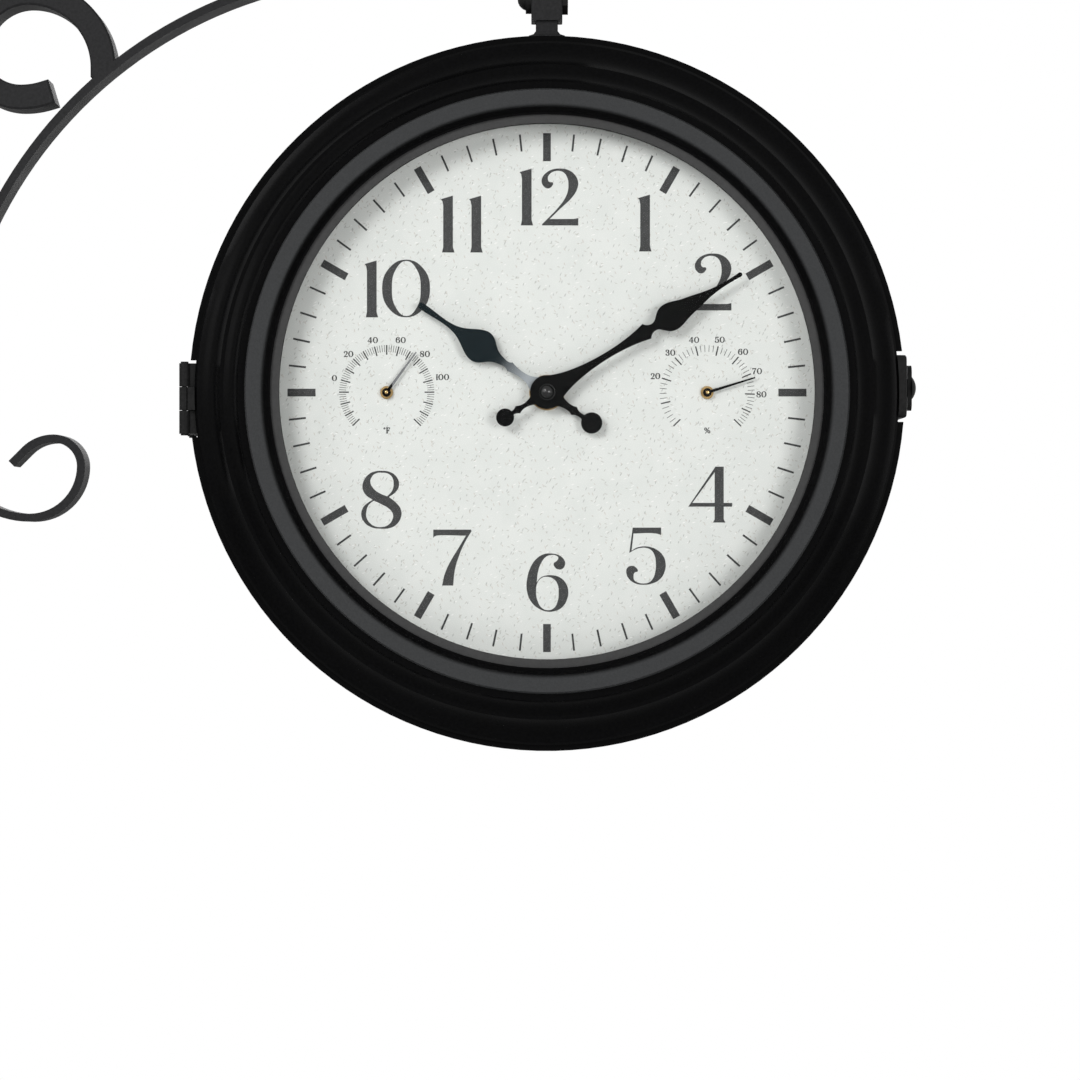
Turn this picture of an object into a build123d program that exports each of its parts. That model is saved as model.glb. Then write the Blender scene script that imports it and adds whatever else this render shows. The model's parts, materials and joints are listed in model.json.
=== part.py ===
from build123d import *
import math
import os

# Outdoor station clock with two faces, hung from a scroll wall bracket.
# Millimetres. +X points away from the wall, +Z up, and the front face looks along -Y.
# The origin is the centre of the two wall screw holes, on the back of the wall plate.

# Case ring
RING_OUTER_R = 173.4
RING_HALF_WIDTH = 19.7
RING_WALL = 2.4
FLANGE_HEIGHT = 3.4
FLANGE_WIDTH = 3.0
SEAM_GAP = 0.3
HINGE_NOTCH = 38.0
LATCH_NOTCH = 35.0

# Bezel, as widths and rises from its rim towards the glass
RIM_OVERHANG = 0.4
RIM_LAND = 3.4
RIM_BEVEL = 1.2
COVE_1_WIDTH = 12.0
STEP_1_WIDTH = 1.9
COVE_2_WIDTH = 7.9
COVE_1_SHARE = 0.528
STEP_2_WIDTH = 3.2
STEP_RISE = 1.6
NOSE_WIDTH = 1.2
NOSE_RISE = 4.0
FRONT_RING_WIDTH = 7.4
INNER_WALL_RUN = 4.1
LIP_WIDTH = 0.9
LIP_DROP = 3.4
LIP_THICK = 1.4
BEZEL_WALL = 2.2
BOSS_R = 3.6
BOSS_COUNT = 6

# Glass stack behind the bezel lip
LENS_SEAT = 1.7
LENS_THICK = 3.0
GASKET_SHOW = 4.1
GASKET_SIDE = 1.0
GASKET_LIP = 1.0
SPACER_WALL = 2.0
DIAL_PLAY = 0.2
DIAL_THICK = 1.0
DIAL_FACE_DEPTH = 28.0
LENS_AIR = 1.2
CLAMP_RING_THICK = 1.5
CLAMP_RING_LAP = 7.4
SCREW_HEAD_R = 3.0
SCREW_HEAD_H = 1.8
SCREW_R = 1.5
SCREW_REACH = 7.0

# Movement
MOVEMENT_SIZE = 56.0
MOVEMENT_DEPTH = 16.0
MOVEMENT_CORNER_R = 4.0
COLLAR_R = 4.0
COLLAR_RISE = 2.4
NUT_FLANGE_R = 8.7
NUT_FLANGE_THICK = 0.7
NUT_ACROSS_FLATS = 12.0
NUT_THICK = 2.2
BATTERY_R = 7.1
BATTERY_LENGTH = 50.0
BUTTON_R = 2.6
BUTTON_H = 1.5
BATTERY_DROP = 17.0
BATTERY_CLEAR = 0.2
KNOB_R = 6.0
KNOB_THICK = 2.2
KNOB_RISE = 13.0
KNOB_STEM_R = 1.5
KNOB_STEM_LENGTH = 4.0
KNOB_FLUTES = 12
KNOB_FLUTE_R = 0.6
PIPE_SINK = 4.0
SHAFT_SINK = 6.0
RUN_CLEAR = 0.05
FIT_CLEAR = 0.1
PRESS_CLEAR = 0.02
PIECE_GAP = 0.3

# Hands
MINUTE_SHAFT_R = 1.8
HOUR_PIPE_R = 2.9
HAND_THICK = 0.8
HOUR_HAND_RISE = 4.0
HAND_AIR = 1.4
HOUR_HUB_R = 7.4
MINUTE_HUB_R = 8.3
CAP_NUT_R = 3.7
CAP_NUT_HEIGHT = 3.4
HOUR_ANGLE = 304.5
MINUTE_ANGLE = 58.7

# Thermometer and hygrometer
INSTRUMENT_OFFSET = 78.8
COIL_CASE_R = 20.0
COIL_CASE_DEPTH = 8.0
COIL_CASE_WALL = 2.0
BUSH_R = 3.1
BUSH_HEIGHT = 1.4
ARBOR_R = 0.7
ARBOR_TIP = 0.3
NEEDLE_LENGTH = 24.6
NEEDLE_THICK = 0.4
NEEDLE_HUB_R = 2.1
NEEDLE_HUB_H = 1.2
NEEDLE_ROOT_W = 1.5
NEEDLE_TIP_W = 0.7
THERMOMETER_ANGLE = 36.4
HYGROMETER_ANGLE = 72.7

# Hinges, on the wall side of the ring
HINGE_STANDOFF = 5.6
HINGE_DROP = 2.6
KNUCKLE_R = 2.65
KNUCKLE_LENGTH = 11.4
PIN_R = 1.2
PIN_HEAD_R = 1.9
PIN_HEAD_H = 0.8
LEAF_THICK = 3.8
FIXED_LEAF_WIDTH = 12.0

# Latch, on the outer side of the ring
LATCH_RISE = 3.4
STRAP_HEIGHT = 31.0
STRAP_THICK = 3.8
STRAP_CORNER_R = 3.0
STRAP_EDGE_R = 1.2
LATCH_POST_R = 3.0
POST_ROOM = 0.6
POST_GRIP = 0.8
SKIRT_R = 6.7
SKIRT_NECK_R = 4.6
SKIRT_H = 2.0
WING_LENGTH = 22.6
WING_WIDTH = 8.0
WING_THICK = 2.0
WING_CAP_R = 6.0
WING_CAP_H = 2.4
LATCH_CLEAR = 0.5

# Hanger, from the head up
FOOT_SIZE = 18.0
FOOT_CORNER_R = 2.0
FOOT_HEIGHT = 7.8
FOOT_FLARE = 2.6
NECK_SIZE = 11.0
NECK_CORNER_R = 0.8
NECK_SHOW = 5.1
NECK_TOP_GAP = 0.6
SLEEVE_SIZE = 15.5
SLEEVE_WALL = 2.0
SLEEVE_LENGTH = 19.7
SLEEVE_CORNER_R = 1.4
BOLT_R = 3.0
BOLT_DROP = 8.4
BOLT_HEAD_R = 5.3
BOLT_HEAD_H = 4.0
WASHER_R = 7.0
WASHER_THICK = 2.8
HANGER_NUT_FLATS = 13.0
HANGER_NUT_THICK = 2.8

# Bracket
HEAD_WALL_GAP = 124.8
PLATE_THICK = 6.0
PLATE_WIDTH = 30.0
PLATE_CORNER_R = 6.0
PLATE_HOLE_SPACING = 310.0
PLATE_END = 14.0
PLATE_HOLE_R = 3.2
HOLE_ABOVE_ARM = 14.0
BAR_THICK = 4.0
ARC_R = 222.2
ARC_OVERSHOOT = 7.3
CURL_LEAD = 8.2
CURL_BOTTOM_R = 42.3
CURL_SIDE_R = 25.7
CURL_TOP_R = 13.7
CURL_INNER_R = 20.0
CURL_INNER_TURN = 45.0
CURL_TIP = 9.5
SCROLL_THICK = 12.4
SCROLL_EDGE = 1.0
SCROLL_LEAD = 6.0
SCROLL_SHARE = 0.1666
TOP_BEND_SHARE = 0.756
LOWER_BEND_SHARE = 0.648
TOE_BEND_SHARE = 1.08
SCROLL_TOE_TURN = 17.0
SCROLL_TOE = 4.0
ARM_SIZE = 20.0
ARM_WALL = 2.0
ARM_CORNER_R = 2.0
ARM_OVERHANG = 24.0
CAP_THICK = 2.0
CAP_PLUG = 8.0
QUARTER = 90.0

# Radii of the head that follow from the sizes above
FLANGE_R = RING_OUTER_R + FLANGE_HEIGHT
BEZEL_RIM_R = RING_OUTER_R + RIM_OVERHANG
COVE_1_OUTER_R = BEZEL_RIM_R - RIM_BEVEL
COVE_1_INNER_R = COVE_1_OUTER_R - COVE_1_WIDTH
STEP_1_INNER_R = COVE_1_INNER_R - STEP_1_WIDTH
COVE_2_INNER_R = STEP_1_INNER_R - COVE_2_WIDTH
STEP_2_INNER_R = COVE_2_INNER_R - STEP_2_WIDTH
FRONT_RING_OUTER_R = STEP_2_INNER_R - NOSE_WIDTH
FRONT_RING_INNER_R = FRONT_RING_OUTER_R - FRONT_RING_WIDTH
INNER_LIP_R = FRONT_RING_INNER_R - INNER_WALL_RUN
BOSS_PITCH_R = FRONT_RING_INNER_R + FRONT_RING_WIDTH / 2
LENS_R = INNER_LIP_R + LENS_SEAT
GASKET_OUTER_R = LENS_R + GASKET_SIDE
GASKET_INNER_R = INNER_LIP_R - GASKET_SHOW
DIAL_R = GASKET_OUTER_R - DIAL_PLAY
CLAMP_RING_INNER_R = DIAL_R - CLAMP_RING_LAP
HINGE_AXIS_R = RING_OUTER_R + HINGE_STANDOFF
LEAF_OUTER_R = RING_OUTER_R + LEAF_THICK
STRAP_OUTER_R = BEZEL_RIM_R + STRAP_THICK

# Depths in front of the mid-plane that follow from them, dial to front
DIAL_BACK_DEPTH = DIAL_FACE_DEPTH - DIAL_THICK
CLAMP_BACK_DEPTH = DIAL_BACK_DEPTH - CLAMP_RING_THICK
MOVEMENT_BACK_DEPTH = DIAL_BACK_DEPTH - MOVEMENT_DEPTH
BATTERY_DEPTH = MOVEMENT_BACK_DEPTH + BATTERY_R + BATTERY_CLEAR
PIPE_FOOT = DIAL_BACK_DEPTH - PIPE_SINK
SHAFT_FOOT = DIAL_BACK_DEPTH - SHAFT_SINK
BUSH_TOP = DIAL_FACE_DEPTH + BUSH_HEIGHT
HOUR_HAND_DEPTH = DIAL_FACE_DEPTH + HOUR_HAND_RISE
MINUTE_HAND_DEPTH = HOUR_HAND_DEPTH + HAND_THICK + HAND_AIR
CAP_NUT_TOP = MINUTE_HAND_DEPTH + HAND_THICK + CAP_NUT_HEIGHT
LENS_BACK = CAP_NUT_TOP + LENS_AIR
LENS_FRONT = LENS_BACK + LENS_THICK
LIP_BACK = LENS_FRONT + GASKET_LIP
LIP_FRONT = LIP_BACK + LIP_THICK
FRONT_DEPTH = LIP_FRONT + LIP_DROP
STEP_2_DEPTH = FRONT_DEPTH - NOSE_RISE
COVE_2_TOP = STEP_2_DEPTH - STEP_RISE
SEAM_DEPTH = RING_HALF_WIDTH + SEAM_GAP
COVE_1_FOOT = SEAM_DEPTH + RIM_LAND
COVE_1_TOP = COVE_1_FOOT + COVE_1_SHARE * (COVE_2_TOP - COVE_1_FOOT - STEP_RISE)
COVE_2_FOOT = COVE_1_TOP + STEP_RISE

# Heights above the clock axis that follow from them
FOOT_TOP = RING_OUTER_R + FOOT_HEIGHT
SLEEVE_FOOT = FOOT_TOP + NECK_SHOW
ARM_UNDERSIDE = SLEEVE_FOOT + SLEEVE_LENGTH

# Clock axis, bolt, hinge and latch, measured from the origin
HEAD_X = PLATE_THICK + HEAD_WALL_GAP + FLANGE_R
HEAD_Z = PLATE_HOLE_SPACING / 2 - HOLE_ABOVE_ARM - ARM_SIZE - ARM_UNDERSIDE
ARM_Z = HEAD_Z + ARM_UNDERSIDE
BOLT_Z = ARM_Z - BOLT_DROP
HINGE_Z = HEAD_Z - HINGE_DROP
LATCH_Z = HEAD_Z + LATCH_RISE

# Big arc: tangent to the wall plate, and let into the arm's underside
ARC_OUTER_R = ARC_R + BAR_THICK / 2
ARC_CENTRE_X = PLATE_THICK + ARC_OUTER_R
ARC_CENTRE_Z = ARM_Z + ARC_OVERSHOOT - ARC_OUTER_R

# Bars as deep as the arm, and scroll bends in step with the arc
BAR_DEPTH = ARM_SIZE
SCROLL_OUTER_BEND_R = SCROLL_SHARE * ARC_R
SCROLL_TOP_BEND_R = TOP_BEND_SHARE * SCROLL_OUTER_BEND_R
SCROLL_LOWER_BEND_R = LOWER_BEND_SHARE * SCROLL_OUTER_BEND_R
SCROLL_TOE_BEND_R = TOE_BEND_SHARE * SCROLL_OUTER_BEND_R

FRONT_FACE = Plane(origin=(HEAD_X, 0, HEAD_Z), x_dir=(1, 0, 0), z_dir=(0, -1, 0))
REAR_FACE = Plane(origin=(HEAD_X, 0, HEAD_Z), x_dir=(-1, 0, 0), z_dir=(0, 1, 0))
FACES = {"front": FRONT_FACE, "rear": REAR_FACE}


def rod(radius, low, high, x=0.0, y=0.0):
    """A round bar along the local Z axis, between two depths."""
    bar = Cylinder(radius, high - low, align=(Align.CENTER, Align.CENTER, Align.MIN))
    return Pos(x, y, low) * bar


def tube(outer, inner, low, high):
    return rod(outer, low, high) - rod(inner, low - 1, high + 1)


def hexagon_bar(across_flats, low, high):
    outline = RegularPolygon(across_flats / 2, 6, major_radius=False)
    return Pos(0, 0, low) * extrude(outline, high - low)


# Case ring and what is fixed to it


def case_ring():
    """The barrel between the two faces, with a flange at each edge."""
    half = RING_HALF_WIDTH
    inner = RING_OUTER_R - RING_WALL
    ring = tube(RING_OUTER_R, inner, -half, half)
    for edge in (-half, half - FLANGE_WIDTH):
        ring += tube(FLANGE_R, inner, edge, edge + FLANGE_WIDTH)
    barrel = rod(RING_OUTER_R, -SEAM_DEPTH, SEAM_DEPTH)
    for side, height, rise in ((-1, HINGE_NOTCH, -HINGE_DROP), (1, LATCH_NOTCH, LATCH_RISE)):
        notch = Box(6 * FLANGE_HEIGHT, height, 2 * SEAM_DEPTH)
        ring -= Pos(side * RING_OUTER_R, rise, 0) * notch - barrel
    return ring.moved(FRONT_FACE.location)


def round_body(radius):
    """The round body of the head at a radius, to cut a seat with."""
    return rod(radius, -FRONT_DEPTH, FRONT_DEPTH).moved(FRONT_FACE.location)


def latch_frame(reach):
    """Plane across the latch axis, at a distance from the clock axis."""
    return Plane(origin=(HEAD_X + reach, 0, LATCH_Z), x_dir=(0, 0, 1), z_dir=(1, 0, 0))


def wing_seat():
    return STRAP_OUTER_R + LATCH_CLEAR


def latch_post():
    """The stud that the wing nut turns on, standing on the ring between the straps."""
    top = wing_seat() + SKIRT_H + WING_THICK + POST_GRIP
    post = rod(LATCH_POST_R, RING_OUTER_R - LATCH_POST_R, top).moved(latch_frame(0).location)
    return post - round_body(RING_OUTER_R)


def latch_wing():
    """Wing nut, upright as at rest: a conical skirt, the wing and a domed cap."""
    skirt = Cone(SKIRT_R, SKIRT_NECK_R, SKIRT_H, align=(Align.CENTER, Align.CENTER, Align.MIN))
    blade_top = SKIRT_H + WING_THICK
    bar = Pos(0, 0, SKIRT_H) * extrude(SlotOverall(WING_LENGTH, WING_WIDTH), WING_THICK)
    sphere_r = (WING_CAP_R ** 2 + WING_CAP_H ** 2) / (2 * WING_CAP_H)
    dome = Pos(0, 0, blade_top + WING_CAP_H - sphere_r) * Sphere(sphere_r)
    dome &= rod(WING_CAP_R, blade_top, blade_top + WING_CAP_H)
    wing = skirt + bar + dome
    wing -= rod(LATCH_POST_R + RUN_CLEAR, -1, blade_top + POST_GRIP + FIT_CLEAR)
    return wing.moved(latch_frame(wing_seat()).location)


def knuckles(places):
    """Hinge knuckles about the pin, standing at the given heights."""
    barrels = None
    for z in places:
        knuckle = Cylinder(KNUCKLE_R, KNUCKLE_LENGTH)
        knuckle = Pos(HEAD_X - HINGE_AXIS_R, -SEAM_DEPTH, HINGE_Z + z) * knuckle
        barrels = knuckle if barrels is None else barrels + knuckle
    return barrels


def pin_bore(clearance):
    bore = Cylinder(PIN_R + clearance, 4 * KNUCKLE_LENGTH)
    return Pos(HEAD_X - HINGE_AXIS_R, -SEAM_DEPTH, HINGE_Z) * bore


KNUCKLE_PITCH = KNUCKLE_LENGTH + PIECE_GAP


def leaf_pad(height, z, y_low, y_high):
    """A pad that carries a knuckle, between the pin and the round body behind it."""
    deep = 3 * LEAF_THICK
    pad = Box(deep, y_high - y_low, height, align=(Align.MIN, Align.MIN, Align.CENTER))
    return Pos(HEAD_X - LEAF_OUTER_R, y_low, HINGE_Z + z) * pad


def fixed_leaf():
    """Two outer knuckles on a leaf that wraps the ring."""
    y_low = -SEAM_DEPTH + PIECE_GAP
    leaf = leaf_pad(3 * KNUCKLE_LENGTH + 2 * PIECE_GAP, 0, y_low, y_low + FIXED_LEAF_WIDTH)
    for z in (-KNUCKLE_PITCH, KNUCKLE_PITCH):
        leaf += leaf_pad(KNUCKLE_LENGTH, z, -SEAM_DEPTH - PIECE_GAP, y_low + KNUCKLE_R)
    leaf += knuckles((-KNUCKLE_PITCH, KNUCKLE_PITCH))
    swing = Cylinder(KNUCKLE_R + PIECE_GAP, KNUCKLE_LENGTH + 2 * PIECE_GAP)
    leaf -= Pos(HEAD_X - HINGE_AXIS_R, -SEAM_DEPTH, HINGE_Z) * swing
    rim = rod(BEZEL_RIM_R + PIECE_GAP, SEAM_DEPTH - PIECE_GAP, FRONT_DEPTH).moved(FRONT_FACE.location)
    return leaf - round_body(RING_OUTER_R) - rim - pin_bore(PRESS_CLEAR)


def moving_leaf():
    """The middle knuckle, on a pad that is fixed to the bezel rim."""
    leaf = leaf_pad(KNUCKLE_LENGTH, 0, -COVE_1_FOOT, -SEAM_DEPTH)
    leaf += knuckles((0,))
    return leaf - round_body(BEZEL_RIM_R) - pin_bore(RUN_CLEAR)


def hinge_pin():
    reach = 1.5 * KNUCKLE_LENGTH + PIECE_GAP
    pin = Cylinder(PIN_R, 2 * reach)
    for side in (-1, 1):
        pin += Pos(0, 0, side * (reach + PIN_HEAD_H / 2)) * Cylinder(PIN_HEAD_R, PIN_HEAD_H)
    return Pos(HEAD_X - HINGE_AXIS_R, -SEAM_DEPTH, HINGE_Z) * pin


def latch_strap():
    """The hasp plate that reaches back from the bezel rim to half way round the stud."""
    low = -COVE_1_FOOT
    high = -PIECE_GAP
    root = BEZEL_RIM_R - STRAP_THICK
    blank = RectangleRounded(STRAP_HEIGHT, high - low, STRAP_CORNER_R)
    plate = extrude(blank, STRAP_OUTER_R - root)
    plate = fillet(plate.faces().sort_by(Axis.Z)[-1].edges(), STRAP_EDGE_R)
    plate = Pos(0, -(low + high) / 2, 0) * plate
    plate = plate.moved(latch_frame(root).location)
    stud_room = rod(LATCH_POST_R + POST_ROOM, INNER_LIP_R, HEAD_X).moved(latch_frame(0).location)
    return plate - stud_room - round_body(BEZEL_RIM_R)


# Face pieces, drawn in the face frame with depth along local Z


def cove(outer_r, foot, inner_r, top):
    """A hollow quarter turn between two corners of the bezel's outline."""
    return ThreePointArc((outer_r, foot), cove_middle(outer_r, foot, inner_r, top), (inner_r, top))


def cove_middle(outer_r, foot, inner_r, top):
    reach = outer_r - inner_r
    rise = top - foot
    return (outer_r - 0.62 * reach, foot + 0.38 * rise)


def bezel():
    """The spun front: rim land, two coves, flat front ring and the lip over the glass."""
    wall = BEZEL_WALL
    outer = [
        Line((BEZEL_RIM_R, SEAM_DEPTH), (BEZEL_RIM_R, COVE_1_FOOT - RIM_BEVEL)),
        Line((BEZEL_RIM_R, COVE_1_FOOT - RIM_BEVEL), (COVE_1_OUTER_R, COVE_1_FOOT)),
        cove(COVE_1_OUTER_R, COVE_1_FOOT, COVE_1_INNER_R, COVE_1_TOP),
        Line((COVE_1_INNER_R, COVE_1_TOP), (COVE_1_INNER_R, COVE_2_FOOT)),
        Line((COVE_1_INNER_R, COVE_2_FOOT), (STEP_1_INNER_R, COVE_2_FOOT)),
        cove(STEP_1_INNER_R, COVE_2_FOOT, COVE_2_INNER_R, COVE_2_TOP),
        Line((COVE_2_INNER_R, COVE_2_TOP), (COVE_2_INNER_R, STEP_2_DEPTH)),
        Line((COVE_2_INNER_R, STEP_2_DEPTH), (STEP_2_INNER_R, STEP_2_DEPTH)),
        Line((STEP_2_INNER_R, STEP_2_DEPTH), (FRONT_RING_OUTER_R, FRONT_DEPTH)),
        Line((FRONT_RING_OUTER_R, FRONT_DEPTH), (FRONT_RING_INNER_R, FRONT_DEPTH)),
        Line((FRONT_RING_INNER_R, FRONT_DEPTH), (INNER_LIP_R + LIP_WIDTH, LIP_FRONT)),
        Line((INNER_LIP_R + LIP_WIDTH, LIP_FRONT), (INNER_LIP_R, LIP_FRONT)),
        Line((INNER_LIP_R, LIP_FRONT), (INNER_LIP_R, LIP_BACK)),
        Line((INNER_LIP_R, LIP_BACK), (FRONT_RING_INNER_R, LIP_BACK)),
    ]
    inside_top = FRONT_DEPTH - wall
    back = [
        Line((FRONT_RING_INNER_R, LIP_BACK), (FRONT_RING_INNER_R + wall, inside_top)),
        Line((FRONT_RING_INNER_R + wall, inside_top), (FRONT_RING_OUTER_R - wall / 2, inside_top)),
        Line((FRONT_RING_OUTER_R - wall / 2, inside_top), (COVE_2_INNER_R, COVE_2_TOP - wall)),
        Line((COVE_2_INNER_R, COVE_2_TOP - wall), (STEP_1_INNER_R - wall, COVE_2_FOOT - wall)),
        Line((STEP_1_INNER_R - wall, COVE_2_FOOT - wall), (COVE_1_INNER_R, COVE_1_TOP - wall)),
        Line((COVE_1_INNER_R, COVE_1_TOP - wall), (COVE_1_OUTER_R - 2 * wall, COVE_1_FOOT - wall / 2)),
        Line((COVE_1_OUTER_R - 2 * wall, COVE_1_FOOT - wall / 2), (BEZEL_RIM_R - wall, SEAM_DEPTH)),
        Line((BEZEL_RIM_R - wall, SEAM_DEPTH), (BEZEL_RIM_R, SEAM_DEPTH)),
    ]
    outline = Plane.XZ * make_face(Curve() + outer + back)
    shell = revolve(outline, Axis.Z)
    for x, y in boss_places():
        boss = rod(BOSS_R, DIAL_BACK_DEPTH, inside_top + wall / 2, x, y)
        boss -= rod(SCREW_R, DIAL_BACK_DEPTH - 1, DIAL_BACK_DEPTH + SCREW_REACH + FIT_CLEAR, x, y)
        shell += boss
    return shell


def boss_places():
    turn = 360 / BOSS_COUNT
    angles = [math.radians(turn * (number + 0.5)) for number in range(BOSS_COUNT)]
    return [(BOSS_PITCH_R * math.cos(a), BOSS_PITCH_R * math.sin(a)) for a in angles]


def lens():
    return rod(LENS_R, LENS_BACK, LENS_FRONT)


def gasket():
    """A channel of rubber round the edge of the glass."""
    back = LENS_BACK - GASKET_LIP
    channel = tube(GASKET_OUTER_R, GASKET_INNER_R, back, LIP_BACK)
    return channel - rod(LENS_R, LENS_BACK, LENS_FRONT)


def spacer_ring():
    """Holds the dial at its distance from the glass."""
    return tube(GASKET_OUTER_R, GASKET_OUTER_R - SPACER_WALL, DIAL_FACE_DEPTH, LENS_BACK - GASKET_LIP)


def dial_plate():
    plate = rod(DIAL_R, DIAL_BACK_DEPTH, DIAL_FACE_DEPTH)
    plate -= rod(COLLAR_R + FIT_CLEAR, DIAL_BACK_DEPTH - 1, DIAL_FACE_DEPTH + 1)
    for side in (-1, 1):
        x = side * INSTRUMENT_OFFSET
        plate -= rod(BUSH_R + FIT_CLEAR, DIAL_BACK_DEPTH - 1, DIAL_FACE_DEPTH + 1, x)
    return plate


def clamp_ring():
    """Screwed to the bezel's bosses, it presses the dial and glass forwards."""
    outer = BOSS_PITCH_R + BOSS_R
    ring = tube(outer, CLAMP_RING_INNER_R, CLAMP_BACK_DEPTH, DIAL_BACK_DEPTH)
    for x, y in boss_places():
        ring -= rod(SCREW_R + FIT_CLEAR, CLAMP_BACK_DEPTH - 1, DIAL_BACK_DEPTH + 1, x, y)
    return ring


def clamp_screws():
    screws = []
    for x, y in boss_places():
        head = rod(SCREW_HEAD_R, CLAMP_BACK_DEPTH - SCREW_HEAD_H, CLAMP_BACK_DEPTH, x, y)
        screws.append(head + rod(SCREW_R, CLAMP_BACK_DEPTH, DIAL_BACK_DEPTH + SCREW_REACH, x, y))
    return Compound(children=screws)


def movement_case():
    """Quartz movement: a square case with its battery bay and threaded collar."""
    block = extrude(RectangleRounded(MOVEMENT_SIZE, MOVEMENT_SIZE, MOVEMENT_CORNER_R), MOVEMENT_DEPTH)
    block = Pos(0, 0, MOVEMENT_BACK_DEPTH) * block
    bay_r = BATTERY_R + BATTERY_CLEAR
    bay_length = BATTERY_LENGTH + 2 * BATTERY_CLEAR
    bay = Pos(0, -BATTERY_DROP, BATTERY_DEPTH) * Rot(0, 90, 0) * Cylinder(bay_r, bay_length)
    mouth = Box(bay_length, 2 * bay_r, BATTERY_DEPTH, align=(Align.CENTER, Align.CENTER, Align.MAX))
    bay += Pos(0, -BATTERY_DROP, BATTERY_DEPTH) * mouth
    case = block - bay
    case += rod(COLLAR_R, DIAL_BACK_DEPTH, DIAL_FACE_DEPTH + COLLAR_RISE)
    case -= rod(HOUR_PIPE_R + RUN_CLEAR, PIPE_FOOT, FRONT_DEPTH)
    case -= rod(MINUTE_SHAFT_R + RUN_CLEAR, SHAFT_FOOT, FRONT_DEPTH)
    case -= rod(KNOB_STEM_R + RUN_CLEAR, 0, MOVEMENT_BACK_DEPTH + KNOB_STEM_LENGTH + FIT_CLEAR, 0, KNOB_RISE)
    return case


def battery():
    """One round cell with its button end."""
    half = BATTERY_LENGTH / 2
    cell = rod(BATTERY_R, -half, half - BUTTON_H) + rod(BUTTON_R, half - BUTTON_H, half)
    return Pos(0, -BATTERY_DROP, BATTERY_DEPTH) * Rot(0, 90, 0) * cell


def setting_knob():
    back = MOVEMENT_BACK_DEPTH - PIECE_GAP - KNOB_THICK
    knob = rod(KNOB_R, back, back + KNOB_THICK)
    for number in range(KNOB_FLUTES):
        angle = math.radians(360 / KNOB_FLUTES * number)
        knob -= rod(KNOB_FLUTE_R, back - 1, back + KNOB_THICK + 1,
                    KNOB_R * math.cos(angle), KNOB_R * math.sin(angle))
    knob += rod(KNOB_STEM_R, back, MOVEMENT_BACK_DEPTH + KNOB_STEM_LENGTH)
    return Pos(0, KNOB_RISE, 0) * knob


def movement_nut():
    """Brass nut with a flange that clamps the movement to the dial."""
    nut = rod(NUT_FLANGE_R, DIAL_FACE_DEPTH, DIAL_FACE_DEPTH + NUT_FLANGE_THICK)
    nut += hexagon_bar(NUT_ACROSS_FLATS, DIAL_FACE_DEPTH, DIAL_FACE_DEPTH + NUT_THICK)
    return nut - rod(COLLAR_R + PRESS_CLEAR, DIAL_BACK_DEPTH, FRONT_DEPTH)


def blade(stretches, tip_reach, depth):
    """A flat blade along +Y with mirrored edges, curved between its corners."""
    edges = []
    for stretch in stretches:
        for side in (-1, 1):
            points = [(side * half, along) for along, half in stretch]
            edges.append(Spline(*points) if len(points) > 2 else Line(*points))
    first_along, first_half = stretches[0][0]
    last_along, last_half = stretches[-1][-1]
    edges.append(Line((-first_half, first_along), (first_half, first_along)))
    edges.append(ThreePointArc((-last_half, last_along), (0, tip_reach), (last_half, last_along)))
    return Pos(0, 0, depth) * extrude(make_face(Curve() + edges), HAND_THICK)


# Edges of the hands: distance from the axis, then half width
HOUR_BLADE = [
    [(3.0, 6.4), (7.4, 3.9), (10.4, 2.25), (14.2, 1.5), (18.6, 1.7), (22.1, 2.5)],
    [(22.1, 2.5), (23.4, 1.7), (27.0, 1.9), (30.6, 3.0), (33.4, 5.0), (36.0, 7.1), (39.7, 8.2),
     (43.4, 7.3), (48.2, 4.6), (52.6, 2.4), (57.0, 1.35), (62.0, 1.1), (74.8, 1.6)],
]
HOUR_TIP = 76.4
HOUR_TAIL = [[(3.0, 5.0), (7.2, 3.0), (11.4, 1.75), (14.4, 1.75), (16.2, 2.4)],
             [(16.2, 2.4), (17.6, 1.5), (22.0, 1.4)]]
HOUR_DISC_AT = 26.6
HOUR_DISC_R = 5.2
MINUTE_BLADE = [
    [(2.0, 8.0), (7.0, 5.7), (12.4, 4.0), (18.5, 2.8), (24.5, 2.05), (33.5, 1.6), (41.0, 1.75),
     (47.3, 2.3), (53.0, 3.2), (57.3, 4.2)],
    [(57.3, 4.2), (59.4, 2.3), (62.0, 2.0), (64.2, 3.4), (67.2, 6.0), (71.5, 6.9), (78.6, 5.0),
     (84.4, 3.7), (92.5, 1.85), (98.0, 1.15), (110.7, 1.1)],
]
MINUTE_TIP = 111.8
MINUTE_TAIL = [[(4.0, 4.6), (8.0, 2.3), (12.0, 1.1), (16.7, 2.1)],
               [(16.7, 2.1), (18.0, 1.3), (21.0, 1.1)]]
MINUTE_DISC_AT = 24.0
MINUTE_DISC_R = 4.4


def hand(edges, tip, tail, disc_at, disc_r, hub_r, depth):
    """Spade blade, hub, and a tail that ends in a disc."""
    shape = blade(edges, tip, depth)
    shape += Rot(0, 0, 180) * blade(tail, disc_at, depth)
    shape += rod(hub_r, depth, depth + HAND_THICK)
    return shape + rod(disc_r, depth, depth + HAND_THICK, 0, -disc_at)


def hour_hand():
    shape = hand(HOUR_BLADE, HOUR_TIP, HOUR_TAIL, HOUR_DISC_AT, HOUR_DISC_R, HOUR_HUB_R, HOUR_HAND_DEPTH)
    shape += rod(HOUR_PIPE_R, PIPE_FOOT + FIT_CLEAR, HOUR_HAND_DEPTH + HAND_THICK)
    shape -= rod(MINUTE_SHAFT_R + RUN_CLEAR, SHAFT_FOOT, FRONT_DEPTH)
    return Rot(0, 0, -HOUR_ANGLE) * shape


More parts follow.
